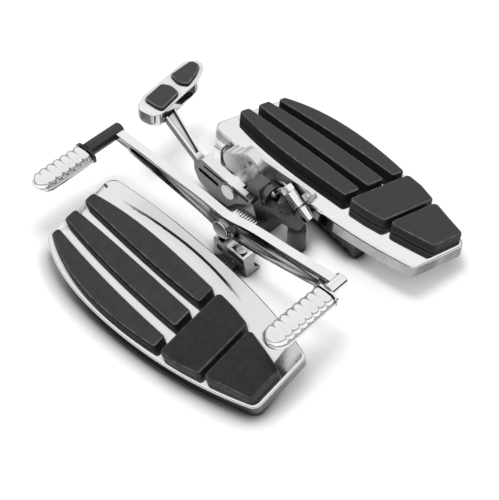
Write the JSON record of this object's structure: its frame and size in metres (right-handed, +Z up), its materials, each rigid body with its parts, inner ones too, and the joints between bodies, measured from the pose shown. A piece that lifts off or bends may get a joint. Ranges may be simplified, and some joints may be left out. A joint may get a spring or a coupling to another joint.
{
  "type": "motorcycle driver footpegs",
  "caption": "Pair of chrome driver floorboards with black rubber pads, a heel and toe shift lever on the left and a brake pedal on the right.",
  "frame": {"origin": "centre of the bounding box at its base, on the table", "axes": "+X to the bike's right, +Y forward, +Z up"},
  "size_m": [0.4178, 0.4088, 0.1085],
  "materials": {
    "board_chrome": "polished chrome plate",
    "pad_rubber": "satin moulded rubber",
    "lever_chrome": "polished chrome plate",
    "peg_chrome": "polished chrome plate",
    "sleeve_rubber": "gloss black moulded rubber",
    "insert_rubber": "dull moulded rubber",
    "foot_rubber": "gloss black moulded rubber",
    "rail_paint": "satin black paint",
    "mount_steel": "machined steel with dark side faces",
    "silver_casting": "fine cast silver",
    "bright_steel": "zinc plated",
    "fitting_steel": "turned steel",
    "spring_steel": "oiled spring wire"
  },
  "bodies": {
    "brackets": {"rubber_foot": "foot_rubber", "left_support": "rail_paint", "right_support": "rail_paint", "foot_carrier": "rail_paint", "left_mount": "mount_steel", "right_mount": "mount_steel", "right_casting": "silver_casting", "left_hinge_pins": "bright_steel", "right_hinge_pins": "bright_steel", "left_mount_screw": "bright_steel", "casting_bolts": "bright_steel", "shift_pivot_bolt": "bright_steel", "brake_pivot_bolt": "bright_steel", "ball_joint": "bright_steel", "fitting_nut": "fitting_steel", "fitting_barrel": "fitting_steel", "fitting_cap": "fitting_steel", "return_spring": "spring_steel"},
    "left_floorboard": {"left_board": "board_chrome", "left_inner_strip": "pad_rubber", "left_middle_strip": "pad_rubber", "left_outer_strip": "pad_rubber", "left_wide_block": "pad_rubber", "left_heel_block": "pad_rubber"},
    "right_floorboard": {"right_board": "board_chrome", "right_inner_strip": "pad_rubber", "right_middle_strip": "pad_rubber", "right_outer_strip": "pad_rubber", "right_wide_block": "pad_rubber", "right_heel_block": "pad_rubber"},
    "shifter": {"shift_lever": "lever_chrome", "toe_sleeve": "sleeve_rubber", "toe_stud": "bright_steel", "toe_peg": "peg_chrome", "heel_collar": "peg_chrome", "heel_bolt": "bright_steel", "heel_peg": "peg_chrome"},
    "pedal": {"brake_pedal": "lever_chrome", "brake_insert_left": "insert_rubber", "brake_insert_right": "insert_rubber"}
  },
  "joints": [
    {"name": "left_board_fold", "type": "hinge", "parent": "brackets", "child": "left_floorboard", "pos_m": [-0.09469, -0.07723, 0.02833], "axis": [0, 0.9999, 0.0157], "range_deg": [0, 18]},
    {"name": "right_board_fold", "type": "hinge", "parent": "brackets", "child": "right_floorboard", "pos_m": [0.07411, -0.08798, 0.03088], "axis": [-0.1716, -0.9833, 0.061], "range_deg": [0, 18]},
    {"name": "shift_pivot", "type": "hinge", "parent": "brackets", "child": "shifter", "pos_m": [-0.04098, 0.00572, 0.048], "axis": [1, 0, 0], "range_deg": [-3, 3]},
    {"name": "brake_pivot", "type": "hinge", "parent": "brackets", "child": "pedal", "pos_m": [0.01602, 0.04942, 0.036], "axis": [-1, 0, 0], "range_deg": [0, 6], "stiffness_Nm_per_rad": 3, "springref_deg": -28.65}
  ]
}
